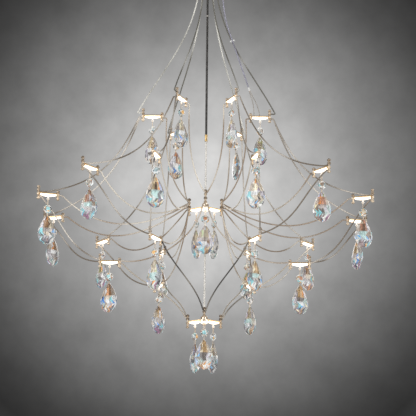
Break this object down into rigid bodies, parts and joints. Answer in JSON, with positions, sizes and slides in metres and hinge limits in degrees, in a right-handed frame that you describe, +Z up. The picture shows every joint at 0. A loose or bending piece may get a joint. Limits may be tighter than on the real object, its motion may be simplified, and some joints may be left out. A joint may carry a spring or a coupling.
{
  "type": "crystal chandelier",
  "caption": "Ceiling chandelier of bent metal wires in tiers, with small light bars and a faceted crystal drop below each.",
  "frame": {"origin": "middle of the mounting bracket's top face, which lies on the ceiling", "axes": "+Z up, towards the ceiling; the chandelier hangs below the origin; -Y is the side seen in the picture, +X to its right"},
  "size_m": [0.5626, 0.5534, 0.775],
  "materials": {
    "painted_metal": "satin",
    "zinc_steel": "satin",
    "champagne_metal": "polished",
    "dark_metal": "satin",
    "brass": "polished",
    "wire": "polished",
    "light_bar": "polished",
    "crystal": "polished",
    "clear_cable": "satin",
    "white_plastic": "satin"
  },
  "bodies": {
    "frame": {"ceiling_canopy": "painted_metal", "mounting_bracket": "zinc_steel", "canopy_nipple": "zinc_steel", "canopy_collar": "champagne_metal", "upper_rod": "dark_metal", "rod_ferrule": "brass", "lower_rod": "champagne_metal", "hub_core": "champagne_metal", "base_core": "champagne_metal", "base_nut": "champagne_metal", "light_bars_upper": "light_bar", "light_bars_wide": "light_bar", "light_bars_lower": "light_bar", "light_bars_hubs": "light_bar", "posts_upper": "champagne_metal", "posts_wide": "champagne_metal", "posts_lower": "champagne_metal", "posts_hubs": "champagne_metal", "wires_suspension": "wire", "wires_upper_to_hub": "wire", "wires_upper_to_wide": "wire", "wires_wide_to_hub": "wire", "wires_wide_to_lower": "wire", "wires_lower_to_hub": "wire", "wires_lower_to_base": "wire", "crystal_lugs": "champagne_metal", "feed_cable": "clear_cable", "feed_leads": "clear_cable", "cable_fittings": "white_plastic"},
    "crystal_upper_1": {"crystal_upper_1": "crystal"},
    "crystal_upper_2": {"crystal_upper_2": "crystal"},
    "crystal_upper_3": {"crystal_upper_3": "crystal"},
    "crystal_upper_4": {"crystal_upper_4": "crystal"},
    "crystal_upper_5": {"crystal_upper_5": "crystal"},
    "crystal_upper_6": {"crystal_upper_6": "crystal"},
    "crystal_wide_1": {"crystal_wide_1": "crystal"},
    "crystal_wide_2": {"crystal_wide_2": "crystal"},
    "crystal_wide_3": {"crystal_wide_3": "crystal"},
    "crystal_wide_4": {"crystal_wide_4": "crystal"},
    "crystal_wide_5": {"crystal_wide_5": "crystal"},
    "crystal_wide_6": {"crystal_wide_6": "crystal"},
    "crystal_wide_7": {"crystal_wide_7": "crystal"},
    "crystal_wide_8": {"crystal_wide_8": "crystal"},
    "crystal_wide_9": {"crystal_wide_9": "crystal"},
    "crystal_wide_10": {"crystal_wide_10": "crystal"},
    "crystal_wide_11": {"crystal_wide_11": "crystal"},
    "crystal_wide_12": {"crystal_wide_12": "crystal"},
    "crystal_lower_1": {"crystal_lower_1": "crystal"},
    "crystal_lower_2": {"crystal_lower_2": "crystal"},
    "crystal_lower_3": {"crystal_lower_3": "crystal"},
    "crystal_lower_4": {"crystal_lower_4": "crystal"},
    "crystal_lower_5": {"crystal_lower_5": "crystal"},
    "crystal_lower_6": {"crystal_lower_6": "crystal"},
    "crystal_hub_1": {"crystal_hub_1": "crystal"},
    "crystal_hub_2": {"crystal_hub_2": "crystal"},
    "crystal_hub_3": {"crystal_hub_3": "crystal"},
    "crystal_base_1": {"crystal_base_1": "crystal"},
    "crystal_base_2": {"crystal_base_2": "crystal"},
    "crystal_base_3": {"crystal_base_3": "crystal"}
  },
  "joints": [
    {"name": "swing_upper_1", "type": "hinge", "parent": "frame", "child": "crystal_upper_1", "pos_m": [-0.04222, -0.08286, -0.3324], "axis": [-0.891, 0.454, 0], "range_deg": [-10, 25]},
    {"name": "swing_upper_2", "type": "hinge", "parent": "frame", "child": "crystal_upper_2", "pos_m": [0.04222, -0.08286, -0.3324], "axis": [-0.891, -0.454, 0], "range_deg": [-10, 25]},
    {"name": "swing_upper_3", "type": "hinge", "parent": "frame", "child": "crystal_upper_3", "pos_m": [0.093, 0, -0.3324], "axis": [0, -1, 0], "range_deg": [-10, 25]},
    {"name": "swing_upper_4", "type": "hinge", "parent": "frame", "child": "crystal_upper_4", "pos_m": [0.05334, 0.07618, -0.3324], "axis": [0.8192, -0.5736, 0], "range_deg": [-10, 25]},
    {"name": "swing_upper_5", "type": "hinge", "parent": "frame", "child": "crystal_upper_5", "pos_m": [-0.05334, 0.07618, -0.3324], "axis": [0.8192, 0.5736, 0], "range_deg": [-10, 25]},
    {"name": "swing_upper_6", "type": "hinge", "parent": "frame", "child": "crystal_upper_6", "pos_m": [-0.093, 0, -0.3324], "axis": [0, 1, 0], "range_deg": [-10, 25]},
    {"name": "swing_wide_1", "type": "hinge", "parent": "frame", "child": "crystal_wide_1", "pos_m": [-0.18449, -0.19646, -0.4984], "axis": [-0.729, 0.6845, 0], "range_deg": [-14, 25]},
    {"name": "swing_wide_2", "type": "hinge", "parent": "frame", "child": "crystal_wide_2", "pos_m": [-0.07789, -0.258, -0.4984], "axis": [-0.9573, 0.289, 0], "range_deg": [-14, 25]},
    {"name": "swing_wide_3", "type": "hinge", "parent": "frame", "child": "crystal_wide_3", "pos_m": [0.07789, -0.258, -0.4984], "axis": [-0.9573, -0.289, 0], "range_deg": [-14, 25]},
    {"name": "swing_wide_4", "type": "hinge", "parent": "frame", "child": "crystal_wide_4", "pos_m": [0.18449, -0.19646, -0.4984], "axis": [-0.729, -0.6845, 0], "range_deg": [-14, 25]},
    {"name": "swing_wide_5", "type": "hinge", "parent": "frame", "child": "crystal_wide_5", "pos_m": [0.26238, -0.06154, -0.4984], "axis": [-0.2284, -0.9736, 0], "range_deg": [-14, 25]},
    {"name": "swing_wide_6", "type": "hinge", "parent": "frame", "child": "crystal_wide_6", "pos_m": [0.26238, 0.06154, -0.4984], "axis": [0.2284, -0.9736, 0], "range_deg": [-14, 25]},
    {"name": "swing_wide_7", "type": "hinge", "parent": "frame", "child": "crystal_wide_7", "pos_m": [0.18449, 0.19646, -0.4984], "axis": [0.729, -0.6845, 0], "range_deg": [-14, 25]},
    {"name": "swing_wide_8", "type": "hinge", "parent": "frame", "child": "crystal_wide_8", "pos_m": [0.07789, 0.258, -0.4984], "axis": [0.9573, -0.289, 0], "range_deg": [-14, 25]},
    {"name": "swing_wide_9", "type": "hinge", "parent": "frame", "child": "crystal_wide_9", "pos_m": [-0.07789, 0.258, -0.4984], "axis": [0.9573, 0.289, 0], "range_deg": [-14, 25]},
    {"name": "swing_wide_10", "type": "hinge", "parent": "frame", "child": "crystal_wide_10", "pos_m": [-0.18449, 0.19646, -0.4984], "axis": [0.729, 0.6845, 0], "range_deg": [-14, 25]},
    {"name": "swing_wide_11", "type": "hinge", "parent": "frame", "child": "crystal_wide_11", "pos_m": [-0.26238, 0.06154, -0.4984], "axis": [0.2284, 0.9736, 0], "range_deg": [-14, 25]},
    {"name": "swing_wide_12", "type": "hinge", "parent": "frame", "child": "crystal_wide_12", "pos_m": [-0.26238, -0.06154, -0.4984], "axis": [-0.2284, 0.9736, 0], "range_deg": [-14, 25]},
    {"name": "swing_lower_1", "type": "hinge", "parent": "frame", "child": "crystal_lower_1", "pos_m": [-0.08, -0.13856, -0.5964], "axis": [-0.866, 0.5, 0], "range_deg": [-20, 25]},
    {"name": "swing_lower_2", "type": "hinge", "parent": "frame", "child": "crystal_lower_2", "pos_m": [0.08, -0.13856, -0.5964], "axis": [-0.866, -0.5, 0], "range_deg": [-20, 25]},
    {"name": "swing_lower_3", "type": "hinge", "parent": "frame", "child": "crystal_lower_3", "pos_m": [0.16, 0, -0.5964], "axis": [0, -1, 0], "range_deg": [-20, 25]},
    {"name": "swing_lower_4", "type": "hinge", "parent": "frame", "child": "crystal_lower_4", "pos_m": [0.08, 0.13856, -0.5964], "axis": [0.866, -0.5, 0], "range_deg": [-20, 25]},
    {"name": "swing_lower_5", "type": "hinge", "parent": "frame", "child": "crystal_lower_5", "pos_m": [-0.08, 0.13856, -0.5964], "axis": [0.866, 0.5, 0], "range_deg": [-20, 25]},
    {"name": "swing_lower_6", "type": "hinge", "parent": "frame", "child": "crystal_lower_6", "pos_m": [-0.16, 0, -0.5964], "axis": [0, 1, 0], "range_deg": [-20, 25]},
    {"name": "swing_hub_1", "type": "hinge", "parent": "frame", "child": "crystal_hub_1", "pos_m": [0, -0.01752, -0.4984], "axis": [-1, 0, 0], "range_deg": [-6, 25]},
    {"name": "swing_hub_2", "type": "hinge", "parent": "frame", "child": "crystal_hub_2", "pos_m": [0.01517, 0.00876, -0.4984], "axis": [0.5, -0.866, 0], "range_deg": [-6, 25]},
    {"name": "swing_hub_3", "type": "hinge", "parent": "frame", "child": "crystal_hub_3", "pos_m": [-0.01517, 0.00876, -0.4984], "axis": [0.5, 0.866, 0], "range_deg": [-6, 25]},
    {"name": "swing_base_1", "type": "hinge", "parent": "frame", "child": "crystal_base_1", "pos_m": [0, -0.01752, -0.6964], "axis": [-1, 0, 0], "range_deg": [-6, 25]},
    {"name": "swing_base_2", "type": "hinge", "parent": "frame", "child": "crystal_base_2", "pos_m": [0.01517, 0.00876, -0.6964], "axis": [0.5, -0.866, 0], "range_deg": [-6, 25]},
    {"name": "swing_base_3", "type": "hinge", "parent": "frame", "child": "crystal_base_3", "pos_m": [-0.01517, 0.00876, -0.6964], "axis": [0.5, 0.866, 0], "range_deg": [-6, 25]}
  ]
}
